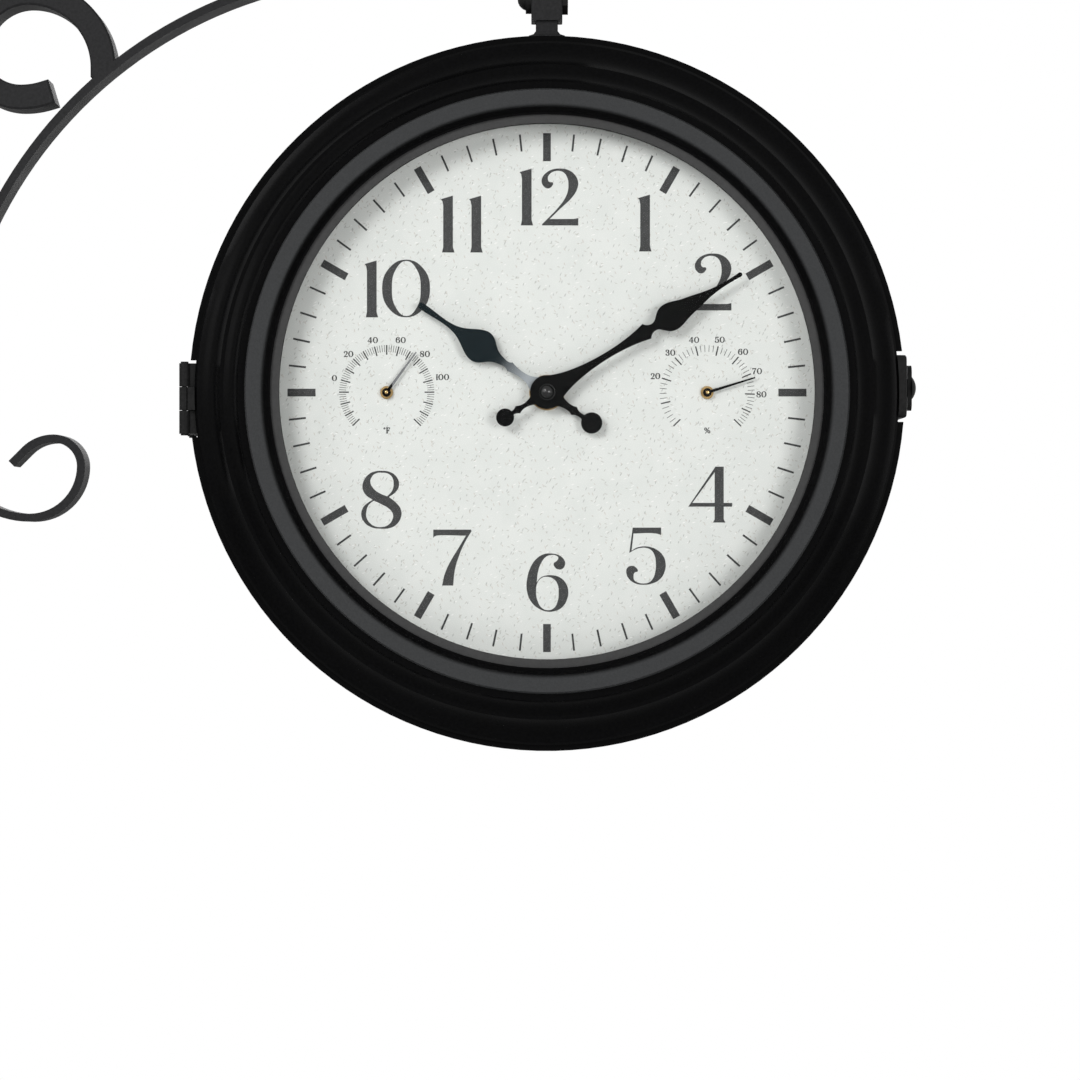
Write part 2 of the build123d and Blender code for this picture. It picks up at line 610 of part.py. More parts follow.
def minute_hand():
    shape = hand(MINUTE_BLADE, MINUTE_TIP, MINUTE_TAIL, MINUTE_DISC_AT, MINUTE_DISC_R,
                 MINUTE_HUB_R, MINUTE_HAND_DEPTH)
    top = MINUTE_HAND_DEPTH + HAND_THICK + CAP_NUT_HEIGHT / 2
    shape += rod(MINUTE_SHAFT_R, SHAFT_FOOT + FIT_CLEAR, top)
    return Rot(0, 0, -MINUTE_ANGLE) * shape


def cap_nut():
    """Domed nut on the end of the minute shaft."""
    seat = MINUTE_HAND_DEPTH + HAND_THICK
    sphere_r = (CAP_NUT_R ** 2 + CAP_NUT_HEIGHT ** 2) / (2 * CAP_NUT_HEIGHT)
    dome = Pos(0, 0, seat + CAP_NUT_HEIGHT - sphere_r) * Sphere(sphere_r)
    dome &= rod(CAP_NUT_R, seat, seat + CAP_NUT_HEIGHT)
    return dome - rod(MINUTE_SHAFT_R + PRESS_CLEAR, SHAFT_FOOT, seat + CAP_NUT_HEIGHT / 2 + FIT_CLEAR)


def instrument_body(x):
    """Coil case behind the dial and the bush that passes through it."""
    case_back = DIAL_BACK_DEPTH - COIL_CASE_DEPTH
    body = rod(COIL_CASE_R, case_back, DIAL_BACK_DEPTH)
    body += rod(BUSH_R, DIAL_BACK_DEPTH, BUSH_TOP)
    body -= rod(ARBOR_R + RUN_CLEAR, case_back + COIL_CASE_WALL, FRONT_DEPTH)
    return Pos(x, 0, 0) * body


def instrument_needle(x, angle):
    """Thin needle on its arbor, pointing at its reading."""
    seat = BUSH_TOP + PIECE_GAP
    root = NEEDLE_ROOT_W / 2
    tip = NEEDLE_TIP_W / 2
    outline = Polyline((-root, 0), (-tip, NEEDLE_LENGTH), (tip, NEEDLE_LENGTH), (root, 0), close=True)
    needle = Pos(0, 0, seat) * extrude(make_face(outline), NEEDLE_THICK)
    needle += rod(NEEDLE_HUB_R, seat, seat + NEEDLE_HUB_H)
    arbor_foot = DIAL_BACK_DEPTH - COIL_CASE_DEPTH + COIL_CASE_WALL + FIT_CLEAR
    needle += rod(ARBOR_R, arbor_foot, seat + NEEDLE_HUB_H + ARBOR_TIP)
    return Pos(x, 0, 0) * Rot(0, 0, -angle) * needle


# Bracket


def bar_runs(x, z, heading, runs, thick, depth):
    """A bent bar in the XZ plane, made of straight runs and left-hand bends."""
    bar = None
    for radius, amount in runs:
        turn = math.radians(heading)
        if radius is None:
            piece = Box(amount, depth, thick, align=(Align.MIN, Align.CENTER, Align.CENTER))
            piece = Pos(x, 0, z) * Rot(0, -heading, 0) * piece
            x += amount * math.cos(turn)
            z += amount * math.sin(turn)
        else:
            centre_x = x - radius * math.sin(turn)
            centre_z = z + radius * math.cos(turn)
            piece = bar_bend(radius, heading - 90, amount, thick, depth)
            piece = Pos(centre_x, 0, centre_z) * piece
            heading += amount
            turn = math.radians(heading)
            x = centre_x + radius * math.sin(turn)
            z = centre_z - radius * math.cos(turn)
        bar = piece if bar is None else bar + piece
    return bar


def bar_bend(radius, start, sweep, thick, depth):
    """A bend about the origin in the XZ plane, from one angle through a sweep."""
    bend = revolve(Plane.XZ * (Pos(radius, 0) * Rectangle(thick, depth)), Axis.Z, sweep)
    bend = Rot(90, 0, 0) * bend
    return Rot(0, -start, 0) * bend


def wall_plate():
    """Flat plate with its two screw holes, on the wall."""
    height = PLATE_HOLE_SPACING + 2 * PLATE_END
    plate = extrude(RectangleRounded(height, PLATE_WIDTH, PLATE_CORNER_R), PLATE_THICK)
    for side in (-1, 1):
        plate -= rod(PLATE_HOLE_R, -1, PLATE_THICK + 1, side * PLATE_HOLE_SPACING / 2)
    upright = Plane(origin=(0, 0, 0), x_dir=(0, 0, 1), z_dir=(1, 0, 0))
    return plate.moved(upright.location)


def scroll_arc():
    """The big arc, tangent to the wall plate, with its lower curl."""
    inner_r = ARC_R - BAR_THICK / 2
    crossing = 2 * QUARTER - math.degrees(math.asin((ARM_Z - ARC_CENTRE_Z) / inner_r))
    start = crossing - 3
    x = ARC_CENTRE_X + ARC_R * math.cos(math.radians(start))
    z = ARC_CENTRE_Z + ARC_R * math.sin(math.radians(start))
    runs = [
        (ARC_R, 2 * QUARTER - start),
        (None, CURL_LEAD),
        (CURL_BOTTOM_R, QUARTER),
        (CURL_SIDE_R, QUARTER),
        (CURL_TOP_R, QUARTER),
        (CURL_INNER_R, CURL_INNER_TURN),
        (None, CURL_TIP),
    ]
    bar = bar_runs(x, z, start + QUARTER, runs, BAR_THICK, BAR_DEPTH)
    above = Box(2 * HEAD_X, 2 * BAR_DEPTH, ARC_R, align=(Align.CENTER, Align.CENTER, Align.MIN))
    return bar - Pos(HEAD_X, 0, ARM_Z) * above


def corner_scroll():
    """Heavy scroll in the corner, butted on the arc and up against the arm."""
    z = ARM_Z - SCROLL_THICK / 2 - SCROLL_OUTER_BEND_R
    reach = ARC_OUTER_R + BAR_THICK / 4
    x = ARC_CENTRE_X - math.sqrt(reach ** 2 - (z - ARC_CENTRE_Z) ** 2)
    runs = [
        (None, SCROLL_LEAD),
        (SCROLL_OUTER_BEND_R, QUARTER),
        (SCROLL_TOP_BEND_R, QUARTER),
        (SCROLL_LOWER_BEND_R, QUARTER),
        (SCROLL_TOE_BEND_R, SCROLL_TOE_TURN),
        (None, SCROLL_TOE),
    ]
    bar = bar_runs(x, z - SCROLL_LEAD, QUARTER, runs, SCROLL_THICK, BAR_DEPTH)
    bar = chamfer(bar.edges().filter_by(Plane.XZ), SCROLL_EDGE)
    arc = Rot(90, 0, 0) * Cylinder(ARC_OUTER_R, 2 * BAR_DEPTH)
    return bar - Pos(ARC_CENTRE_X, 0, ARC_CENTRE_Z) * arc


def arm_length():
    return HEAD_X + ARM_OVERHANG - PLATE_THICK


def top_arm():
    """Square tube from the wall plate out past the hanger."""
    outer = Box(arm_length(), ARM_SIZE, ARM_SIZE, align=(Align.MIN, Align.CENTER, Align.MIN))
    outer = fillet(outer.edges().filter_by(Axis.X), ARM_CORNER_R)
    hole = ARM_SIZE - 2 * ARM_WALL
    inner = Box(2 * arm_length(), hole, hole, align=(Align.CENTER, Align.CENTER, Align.MIN))
    arm = outer - Pos(arm_length() / 2, 0, ARM_WALL) * inner
    return Pos(PLATE_THICK, 0, ARM_Z) * arm


def arm_end_cap():
    """Plastic plug in the open end of the arm."""
    hole = ARM_SIZE - 2 * ARM_WALL - 2 * FIT_CLEAR
    cap = Box(CAP_THICK, ARM_SIZE, ARM_SIZE, align=(Align.MIN, Align.CENTER, Align.CENTER))
    cap = fillet(cap.edges().filter_by(Axis.X), ARM_CORNER_R)
    cap += Box(CAP_PLUG, hole, hole, align=(Align.MAX, Align.CENTER, Align.CENTER))
    return Pos(PLATE_THICK + arm_length(), 0, ARM_Z + ARM_SIZE / 2) * cap


def square_bar(size, corner, low, high):
    bar = extrude(RectangleRounded(size, size, corner), high - low)
    return Pos(HEAD_X, 0, HEAD_Z + low) * bar


def cross_rod(radius, x_low, x_high):
    """A round bar along X through the hanger."""
    bar = Cylinder(radius, x_high - x_low, align=(Align.CENTER, Align.CENTER, Align.MIN))
    return Pos(HEAD_X + x_low, 0, BOLT_Z) * Rot(0, 90, 0) * bar


def hanger_sleeve():
    sleeve = square_bar(SLEEVE_SIZE, SLEEVE_CORNER_R, SLEEVE_FOOT, ARM_UNDERSIDE)
    sleeve -= square_bar(SLEEVE_SIZE - 2 * SLEEVE_WALL, NECK_CORNER_R, 0, 2 * ARM_UNDERSIDE)
    return sleeve - cross_rod(BOLT_R + FIT_CLEAR, -SLEEVE_SIZE, SLEEVE_SIZE)


def neck_post():
    post = square_bar(NECK_SIZE, NECK_CORNER_R, FOOT_TOP, ARM_UNDERSIDE - NECK_TOP_GAP)
    return post - cross_rod(BOLT_R + FIT_CLEAR, -SLEEVE_SIZE, SLEEVE_SIZE)


def foot_slice(size, corner, height):
    return Pos(HEAD_X, 0, HEAD_Z + height) * RectangleRounded(size, size, corner)


def neck_foot():
    """Flared foot between the case ring and the neck."""
    flare_foot = FOOT_TOP - FOOT_FLARE
    base = square_bar(FOOT_SIZE, FOOT_CORNER_R, RING_OUTER_R - FOOT_FLARE, flare_foot)
    waist_size = (FOOT_SIZE + 2 * NECK_SIZE) / 3
    slices = [
        foot_slice(FOOT_SIZE, FOOT_CORNER_R, flare_foot),
        foot_slice(waist_size, (FOOT_CORNER_R + NECK_CORNER_R) / 2, flare_foot + 0.4 * FOOT_FLARE),
        foot_slice(NECK_SIZE, NECK_CORNER_R, FOOT_TOP),
    ]
    foot = base + loft(slices, ruled=True)
    return foot - round_body(RING_OUTER_R)


def hanger_bolt():
    """Cross bolt with a domed head on the wall side."""
    half = SLEEVE_SIZE / 2
    head_x = -half - WASHER_THICK
    sphere_r = (BOLT_HEAD_R ** 2 + BOLT_HEAD_H ** 2) / (2 * BOLT_HEAD_H)
    dome = Pos(HEAD_X + head_x - BOLT_HEAD_H + sphere_r, 0, BOLT_Z) * Sphere(sphere_r)
    dome &= cross_rod(BOLT_HEAD_R, head_x - BOLT_HEAD_H, head_x)
    return dome + cross_rod(BOLT_R, head_x, half + HANGER_NUT_THICK)


def hanger_washer():
    half = SLEEVE_SIZE / 2
    washer = cross_rod(WASHER_R, -half - WASHER_THICK, -half)
    return washer - cross_rod(BOLT_R + FIT_CLEAR, -SLEEVE_SIZE, 0)


def hanger_nut():
    half = SLEEVE_SIZE / 2
    nut = hexagon_bar(HANGER_NUT_FLATS, 0, HANGER_NUT_THICK)
    nut -= rod(BOLT_R + PRESS_CLEAR, -HANGER_NUT_THICK, 2 * HANGER_NUT_THICK)
    return Pos(HEAD_X + half, 0, BOLT_Z) * Rot(0, 90, 0) * nut


def bracket_nodes():
    pair = {"fixed_leaves": fixed_leaf(), "hinge_pins": hinge_pin()}
    nodes = {name: Compound(children=[one, mirror(one, Plane.XZ)]) for name, one in pair.items()}
    nodes.update({
        "wall_plate": wall_plate(), "scroll_arc": scroll_arc(), "corner_scroll": corner_scroll(),
        "top_arm": top_arm(), "arm_end_cap": arm_end_cap(), "hanger_sleeve": hanger_sleeve(),
        "hanger_bolt": hanger_bolt(), "hanger_washer": hanger_washer(), "hanger_nut": hanger_nut(),
        "neck_post": neck_post(), "neck_foot": neck_foot(), "case_ring": case_ring(),
        "latch_post": latch_post(), "latch_wing": latch_wing(),
    })
    return nodes


def face_nodes():
    """Pieces of one face, in the face frame."""
    return {
        "bezel": bezel(), "lens": lens(), "gasket": gasket(), "spacer_ring": spacer_ring(),
        "dial_plate": dial_plate(), "clamp_ring": clamp_ring(), "clamp_screws": clamp_screws(),
        "movement_case": movement_case(), "movement_nut": movement_nut(), "battery": battery(),
        "setting_knob": setting_knob(), "hour_hand": hour_hand(), "minute_hand": minute_hand(),
        "cap_nut": cap_nut(),
        "thermometer_body": instrument_body(-INSTRUMENT_OFFSET),
        "thermometer_needle": instrument_needle(-INSTRUMENT_OFFSET, THERMOMETER_ANGLE),
        "hygrometer_body": instrument_body(INSTRUMENT_OFFSET),
        "hygrometer_needle": instrument_needle(INSTRUMENT_OFFSET, HYGROMETER_ANGLE),
    }


def all_nodes():
    nodes = bracket_nodes()
    for name, shape in face_nodes().items():
        for side, face in FACES.items():
            nodes[f"{name}_{side}"] = shape.moved(face.location)
    for name, shape in (("moving_leaf", moving_leaf()), ("latch_strap", latch_strap())):
        nodes[f"{name}_front"] = shape
        nodes[f"{name}_rear"] = mirror(shape, Plane.XZ)
    return nodes


os.makedirs("parts", exist_ok=True)
for node, shape in all_nodes().items():
    export_step(shape, f"parts/{node}.step")
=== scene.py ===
import json
import math

import bpy
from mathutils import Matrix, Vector


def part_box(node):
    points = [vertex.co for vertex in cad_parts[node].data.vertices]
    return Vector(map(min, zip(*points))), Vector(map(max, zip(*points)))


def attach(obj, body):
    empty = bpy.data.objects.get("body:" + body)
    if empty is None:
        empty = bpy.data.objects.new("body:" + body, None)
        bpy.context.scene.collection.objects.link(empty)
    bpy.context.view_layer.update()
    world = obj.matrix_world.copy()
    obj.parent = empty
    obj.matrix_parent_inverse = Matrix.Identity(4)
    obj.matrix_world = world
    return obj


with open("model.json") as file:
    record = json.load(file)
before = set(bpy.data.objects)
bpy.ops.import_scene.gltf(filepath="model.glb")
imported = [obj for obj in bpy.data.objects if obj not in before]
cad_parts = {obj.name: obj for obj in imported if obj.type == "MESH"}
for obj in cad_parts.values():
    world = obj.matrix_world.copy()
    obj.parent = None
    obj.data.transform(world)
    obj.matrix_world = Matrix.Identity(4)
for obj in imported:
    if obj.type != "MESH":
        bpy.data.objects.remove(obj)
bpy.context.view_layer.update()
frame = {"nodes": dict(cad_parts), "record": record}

# Dial print, in millimetres from the dial's centre
MM = 0.001
PRINT_LIFT = 0.00006
NUMERAL_HEIGHT = 28.2
TICK_OUTER_R = 127.6
HOUR_TICK = (13.8, 3.8)
MINUTE_TICK = (8.4, 0.95)
INSTRUMENT_X = 78.8
SCALE_OUTER_R = 23.3
MAJOR_TICK = (4.6, 0.42)
MINOR_TICK = (3.2, 0.05)
LABEL_HEIGHT = 2.8
LABEL_R = 26.7
LONG_LABEL_R = 28.5
UNIT_DROP = 18.6
SMALL_PRINT_SPREAD = 0.0001
THERMOMETER_STEP = 14.9

# Smoothness of the drawn outlines
OUTLINE_STEPS = 5

# Paper fibres: cell in metres, and half size of a fibre as a share of its cell
FIBRE_CELL = 0.013
FIBRE_ASPECT = 3.6
FIBRE_CORE = 0.03
FIBRE_EDGE = 0.075

# Brass pivot end in the middle of each needle's hub, in metres
PIVOT_R = 0.0008
PIVOT_RISE = 0.00024
PIVOT_STEPS = 16

# Radii at which paints begin and end, in metres
# The ring radii bound the painted highlight on the bezel's flat front ring
RING_INSIDE = (0.1380, 0.1400)
RING_OUTSIDE = (0.1472, 0.1476)
CAP_POLISH = (0.0038, 0.0041)
# Radii over which the painted sheen at the hour hand's root fades out
ROOT_SHEEN_REACH = (0.012, 0.028)
NEEDLE_HUB = (0.0024, 0.0030)
HUB_LINE = 0.001

# Pale colour of the painted sheen at the hour hand's root; the blue-black is the hand's own colour
ROOT_SHEEN_COLOUR = (0.34, 0.37, 0.39)
BLUE_BLACK = (0.0075, 0.013, 0.0155)

# Camera and studio
CAMERA_DISTANCE = 1.7
FRAME_WIDTH = 0.540
CAMERA_OFFSET = (-0.0035, -0.0725)
SENSOR = 36.0
FLOOR_DROP = 0.95
FLOOR_REACH = 3.0
WORLD_LIGHT = 0.35


# Numerals, drawn on a grid about 57 units high, with the left end of the baseline as origin.
# A point with a third value is a corner, and the line is smooth through the others.

C = "corner"

ONE = [[
    (0, 53, C), (12, 56.5, C), (12, 5.3, C), (13.6, 0, C), (1.2, 0, C), (2.4, 5.3, C),
    (2.4, 46.7, C), (1.5, 51.2, C),
]]

TWO = [[
    (11.2, 42.4), (9.6, 38.3), (6.1, 36.8), (2.1, 38.8), (0, 43.5), (1.1, 48.3), (4.8, 52.6),
    (11.2, 55.8), (18.3, 56.6), (26.3, 55.2), (32.7, 50.7), (36.2, 43.5), (35.6, 37.2),
    (31.9, 30), (18.3, 16.4), (8, 6.4, C), (31.9, 6.4, C), (36.4, 7.3, C), (36.4, 0, C),
    (0.5, 0, C), (0.5, 1.3, C), (16.7, 18), (23.1, 26.8), (26, 34), (26.6, 41.1), (25.5, 47.5),
    (22.3, 52.3), (17.5, 54.2), (12, 53.6), (8, 51), (6.1, 47), (7.6, 43.2),
]]

THREE = [[
    (10.5, 42.6), (6.3, 37.6), (1.6, 41), (1.2, 47.6), (7, 54.4), (18, 57), (30, 53.6),
    (34.4, 44.6), (31.6, 35.6), (23.4, 30.6, C), (33.6, 25.8), (38, 15.6), (34.2, 5), (20, 0),
    (6.4, 3), (0.8, 11.2), (5.6, 17.4), (11, 12.6), (8.8, 6.6), (17.4, 1.6), (25.6, 5), (28.6, 15.4),
    (26, 25.4), (18, 29.2), (12.4, 29.2, C), (12.4, 31.2, C), (20.4, 32.6), (24.8, 39), (24.6, 49),
    (18, 55), (10.4, 52.6), (8.4, 47),
]]

FOUR = [
    [(0, 15.8, C), (27, 55.6, C), (35.2, 55.6, C), (35.2, 19.5, C), (43.5, 19.5, C), (43.5, 15.8, C),
     (35.2, 15.8, C), (35.2, 3, C), (37, 0, C), (24.5, 0, C), (26.2, 3, C), (26.2, 15.8, C)],
    [(4, 19.5, C), (26.2, 50, C), (26.2, 19.5, C)],
]

FIVE = [[
    (6.4, 56.6, C), (34.7, 56.6, C), (34.7, 49.2, C), (29.7, 50.7), (7.2, 50.7, C), (5.3, 33.5, C),
    (9.9, 36.5), (16, 37.9), (22.8, 37.6), (30.5, 34.6), (36.5, 28.9), (39.1, 21.3), (38.1, 12.9),
    (33.5, 5.3), (25.9, 1.1), (17.5, -0.2), (9.1, 1.1), (3, 5.3), (0, 12.2), (1.2, 16.8), (5.3, 18.6),
    (9.4, 17.2), (11.4, 13.2), (8.4, 12), (7.2, 8.2), (8, 4.4), (12.4, 1.8), (17.5, 1.1), (22.8, 2.3),
    (26.6, 6.1), (28.9, 12.9), (29.4, 21.3), (28.2, 28.9), (24.7, 34.3), (19.8, 36.4), (14.5, 36.5),
    (9.1, 34.9), (3, 31.4, C),
]]

SIX = [
    [(38.5, 47.2), (35.8, 42.6), (32, 41.9), (28.2, 44.2), (27.2, 48), (30.2, 50.4), (31.7, 53.6),
     (28.9, 55.9), (24.4, 56.3), (19, 54.1), (14.5, 48), (11.7, 40.4), (10.2, 28.9, C), (13.7, 33.5),
     (19, 35.8), (25.1, 36.2), (32.7, 34.3), (38.8, 28.9), (41.6, 20.6), (40.4, 12.2), (35.8, 4.6),
     (28.2, 0.5), (20.6, 0), (12.2, 3), (4.6, 9.9), (0.5, 20.6), (0.5, 31.2), (3.8, 43.4),
     (9.9, 52.5), (17.5, 57.1), (25.1, 57.7), (32.7, 55.9), (37.3, 51.8)],
    [(20.6, 34.6), (26.6, 32.7), (30.5, 28.2), (32.1, 19), (30.9, 9.9), (27.4, 3.5), (21.3, 1.4),
     (15.2, 3.8), (11.1, 10.7), (9.6, 20.6), (11.1, 28.9), (15.2, 33.5)],
]

SEVEN = [[
    (0, 55.6, C), (37.6, 55.6, C), (38, 54, C), (31.2, 42.6), (25.1, 28.2), (21.3, 14.5),
    (19.8, 0, C), (8.8, 0, C), (11.4, 11.4), (16.8, 23.6), (25.1, 37.3), (32.4, 49.6, C),
    (3.8, 49.8), (1.6, 49), (0, 47.4, C),
]]

EIGHT = [
    [(20.6, 57.5), (28.3, 56.4), (34.5, 52.2), (37.6, 44.5), (35.2, 37.6), (27.5, 31.4, C),
     (35.2, 25.2), (39.6, 18.2), (39.6, 12.1), (35.2, 4.3), (28.2, 0.5), (19, 0), (9.7, 1.5),
     (2.8, 6.6), (0, 13.6), (2, 21.3), (6.6, 25.7), (11.3, 28.7, C), (4.3, 33.7), (1.2, 40.6),
     (2.8, 48.4), (8.2, 54.6), (13.6, 56.9)],
    [(20.6, 55.6), (26.7, 54.6), (30.9, 50.7), (32.1, 44.5), (30.6, 37.6), (25.7, 32.1, C),
     (18.2, 35.2), (12.1, 39.9), (9, 46.1), (10.5, 51.5), (14.4, 54.9)],
    [(19, 1.5), (26.7, 3.6), (30.9, 9), (31.4, 14.4), (27.5, 19.8), (19.8, 24.4), (12.4, 27.8, C),
     (7.4, 23.6), (5.1, 17.5), (5.1, 11.3), (9, 5.1), (13.6, 2.3)],
]

LETTER_F = [[
    (0, 0, C), (0, 3, C), (4.5, 4, C), (4.5, 52, C), (0, 53, C), (0, 56.5, C), (37, 56.5, C), (37, 43, C),
    (33.5, 43, C), (31, 52, C), (14, 52, C), (14, 31.5, C), (23, 31.5, C), (26, 38, C), (28.5, 38, C),
    (28.5, 20, C), (26, 20, C), (23, 27, C), (14, 27, C), (14, 4, C), (19, 3, C), (19, 0, C),
]]


def ellipse(x, y, half_width, half_height):
    """Outline of an upright ellipse, as eight smooth points."""
    points = []
    for step in range(8):
        angle = math.radians(45 * step)
        points.append((x + half_width * math.cos(angle), y + half_height * math.sin(angle)))
    return points


ZERO = [ellipse(23.8, 28.7, 23.8, 28.7), ellipse(24, 28.7, 14.3, 27.4)]
DEGREE = [ellipse(8, 49, 8, 8), ellipse(8, 49, 4, 4)]
PERCENT = [
    ellipse(12, 42, 12, 14.5), ellipse(12, 42, 5.6, 11.4),
    ellipse(44, 14.5, 12, 14.5), ellipse(44, 14.5, 5.6, 11.4),
    [(9, 0, C), (43, 56.5, C), (47, 56.5, C), (13, 0, C)],
]

GLYPHS = {
    "0": (ZERO, 47.6), "1": (ONE, 13.6), "2": (TWO, 36.4), "3": (THREE, 38), "4": (FOUR, 43.5),
    "5": (FIVE, 39.1), "6": (SIX, 41.6), "7": (SEVEN, 38), "8": (EIGHT, 39.6),
    "F": (LETTER_F, 37), "d": (DEGREE, 16), "%": (PERCENT, 56),
}
GLYPH_HEIGHT = 57.0
GLYPH_GAP = 9.0

# Where each numeral goes: left end of its baseline from the dial's centre, and the gap in a pair
NUMERALS = {
    "12": (-13.5, 82.2, 8.4), "1": (44.7, 69.4, 0), "2": (72.7, 40.4, 0), "4": (69.5, -63.9, 0),
    "5": (39.0, -94.4, 0), "6": (-10.1, -107.7, 0), "7": (-55.9, -94.9, 0), "8": (-91.3, -66.9, 0),
    "10": (-89.7, 37.0, 3.9), "11": (-52.2, 68.9, 14.5),
}

# Bearings of the hygrometer's long ticks, for 0 to 100 per cent
HYGROMETER_ANGLES = (-134.8, -103.5, -72.3, -42.7, -14.1, 13.4, 41.3, 66.7, 91.9, 114.4, 134.8)


def text_width(text, gap):
    total = gap * (len(text) - 1)
    for sign in text:
        total += GLYPHS[sign][1]
    return total


def text_loops(text, left, baseline, height, gap=GLYPH_GAP):
    """Outlines of a row of signs, in millimetres from the dial's centre."""
    scale = height / GLYPH_HEIGHT
    loops = []
    pen = 0.0
    for sign in text:
        outlines, width = GLYPHS[sign]
        for outline in outlines:
            loops.append([(left + (pen + p[0]) * scale, baseline + p[1] * scale) + tuple(p[2:])
                          for p in outline])
        pen += width + gap
    return loops


def centred_text(text, x, y, height):
    width = text_width(text, GLYPH_GAP) * height / GLYPH_HEIGHT
    return text_loops(text, x - width / 2, y - height / 2, height)


def on_circle(centre, radius, degrees):
    """A point on a circle, with the angle clockwise from the top."""
    angle = math.radians(degrees)
    return centre[0] + radius * math.sin(angle), centre[1] + radius * math.cos(angle)


def tick_loop(centre, inner, outer, width, degrees):
    angle = math.radians(degrees)
    across = (math.cos(angle) * width / 2, -math.sin(angle) * width / 2)
    loop = []
    for radius, side in ((inner, -1), (inner, 1), (outer, 1), (outer, -1)):
        x, y = on_circle(centre, radius, degrees)
        loop.append((x + side * across[0], y + side * across[1], C))
    return loop


def numeral_loops():
    loops = []
    for text, (left, baseline, gap) in NUMERALS.items():
        loops += text_loops(text, left, baseline, NUMERAL_HEIGHT, gap)
    return loops


def hour_tick_loops():
    length, width = HOUR_TICK
    return [tick_loop((0, 0), TICK_OUTER_R - length, TICK_OUTER_R, width, 30 * hour) for hour in range(12)]


def minute_tick_loops():
    length, width = MINUTE_TICK
    minutes = [minute for minute in range(60) if minute % 5]
    return [tick_loop((0, 0), TICK_OUTER_R - length, TICK_OUTER_R, width, 6 * minute) for minute in minutes]


def scale_loops(centre, angles):
    """Major and minor ticks of one small scale, with four minors between two majors."""
    loops = []
    length, width = MINOR_TICK
    for start, end in zip(angles, angles[1:]):
        for step in range(1, 5):
            angle = start + (end - start) * step / 5
            loops.append(tick_loop(centre, SCALE_OUTER_R - length, SCALE_OUTER_R, width, angle))
    length, width = MAJOR_TICK
    for angle in angles:
        loops.append(tick_loop(centre, SCALE_OUTER_R - length, SCALE_OUTER_R, width, angle))
    return loops


def label_loops(centre, value, degrees):
    """A small figure outside a scale, further out when it has three digits."""
    text = str(value)
    x, y = on_circle(centre, LABEL_R if len(text) < 3 else LONG_LABEL_R, degrees)
    return centred_text(text, x, y, LABEL_HEIGHT)


def thermometer_loops():
    centre = (-INSTRUMENT_X, 0)
    angles = [THERMOMETER_STEP * step for step in range(-9, 10)]
    loops = scale_loops(centre, angles)
    for value in range(0, 101, 20):
        loops += label_loops(centre, value, THERMOMETER_STEP * (value - 50) / 10)
    return loops + centred_text("dF", centre[0], -UNIT_DROP, LABEL_HEIGHT)


def hygrometer_loops():
    centre = (INSTRUMENT_X, 0)
    loops = scale_loops(centre, HYGROMETER_ANGLES)
    for tens in range(2, 9):
        loops += label_loops(centre, 10 * tens, HYGROMETER_ANGLES[tens])
    return loops + centred_text("%", centre[0], -UNIT_DROP, LABEL_HEIGHT)


def filled_mesh(name, loops, widen):
    """Flat filled mesh of outlines, in the dial's own plane."""
    curve = bpy.data.curves.new(name, "CURVE")
    curve.dimensions = "2D"
    curve.fill_mode = "BOTH"
    curve.resolution_u = OUTLINE_STEPS
    curve.offset = widen
    for loop in loops:
        spline = curve.splines.new("BEZIER")
        spline.bezier_points.add(len(loop) - 1)
        spline.use_cyclic_u = True
        for knot, point in zip(spline.bezier_points, loop):
            kind = "VECTOR" if len(point) > 2 else "AUTO"
            knot.co = (point[0] * MM, point[1] * MM, 0)
            knot.handle_left_type = kind
            knot.handle_right_type = kind
    drawn = bpy.data.objects.new(name, curve)
    bpy.context.scene.collection.objects.link(drawn)
    bpy.context.view_layer.update()
    mesh = bpy.data.meshes.new_from_object(drawn)
    bpy.data.objects.remove(drawn)
    return mesh


def add_print(name, loops, side, material, widen=0.0):
    """Prints outlines on the front or rear dial."""
    low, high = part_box("dial_plate_" + side)
    centre_x = (low[0] + high[0]) / 2
    centre_z = (low[2] + high[2]) / 2
    facing = -1 if side == "front" else 1
    depth = (low[1] if side == "front" else high[1]) + facing * PRINT_LIFT
    mesh = filled_mesh(f"{name}_{side}", loops, widen)
    for vertex in mesh.vertices:
        x, y, _ = vertex.co
        vertex.co = (centre_x - facing * x, depth, centre_z + y)
    mesh.materials.clear()
    mesh.materials.append(material)
    piece = bpy.data.objects.new(f"{name}_{side}", mesh)
    bpy.context.scene.collection.objects.link(piece)
    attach(piece, side + "_face")


# Material building

def head_centre():
    low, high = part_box("case_ring")
    return Vector(((low[0] + high[0]) / 2, 0.0, (low[2] + high[2]) / 2))


def start_material(name):
    material = bpy.data.materials.new(name)
    material.use_nodes = True
    tree = material.node_tree
    return material, tree, tree.nodes["Principled BSDF"]


def add_node(tree, kind, settings=None, **values):
    """A node with its properties from settings and its inputs from values."""
    made = tree.nodes.new(kind)
    for key, value in (settings or {}).items():
        setattr(made, key, value)
    for key, value in values.items():
        made.inputs[key.replace("_", " ")].default_value = value
    return made


def coordinates(tree, scale=(1, 1, 1), turn=(0, 0, 0)):
    source = tree.nodes.new("ShaderNodeTexCoord")
    mapping = tree.nodes.new("ShaderNodeMapping")
    mapping.inputs["Scale"].default_value = scale
    mapping.inputs["Rotation"].default_value = turn
    tree.links.new(source.outputs["Object"], mapping.inputs["Vector"])
    return mapping.outputs["Vector"]


def noise(tree, scale, detail=3.0, vector=None):
    made = add_node(tree, "ShaderNodeTexNoise", Scale=scale, Detail=detail)
    tree.links.new(vector or coordinates(tree), made.inputs["Vector"])
    return made.outputs["Fac"]


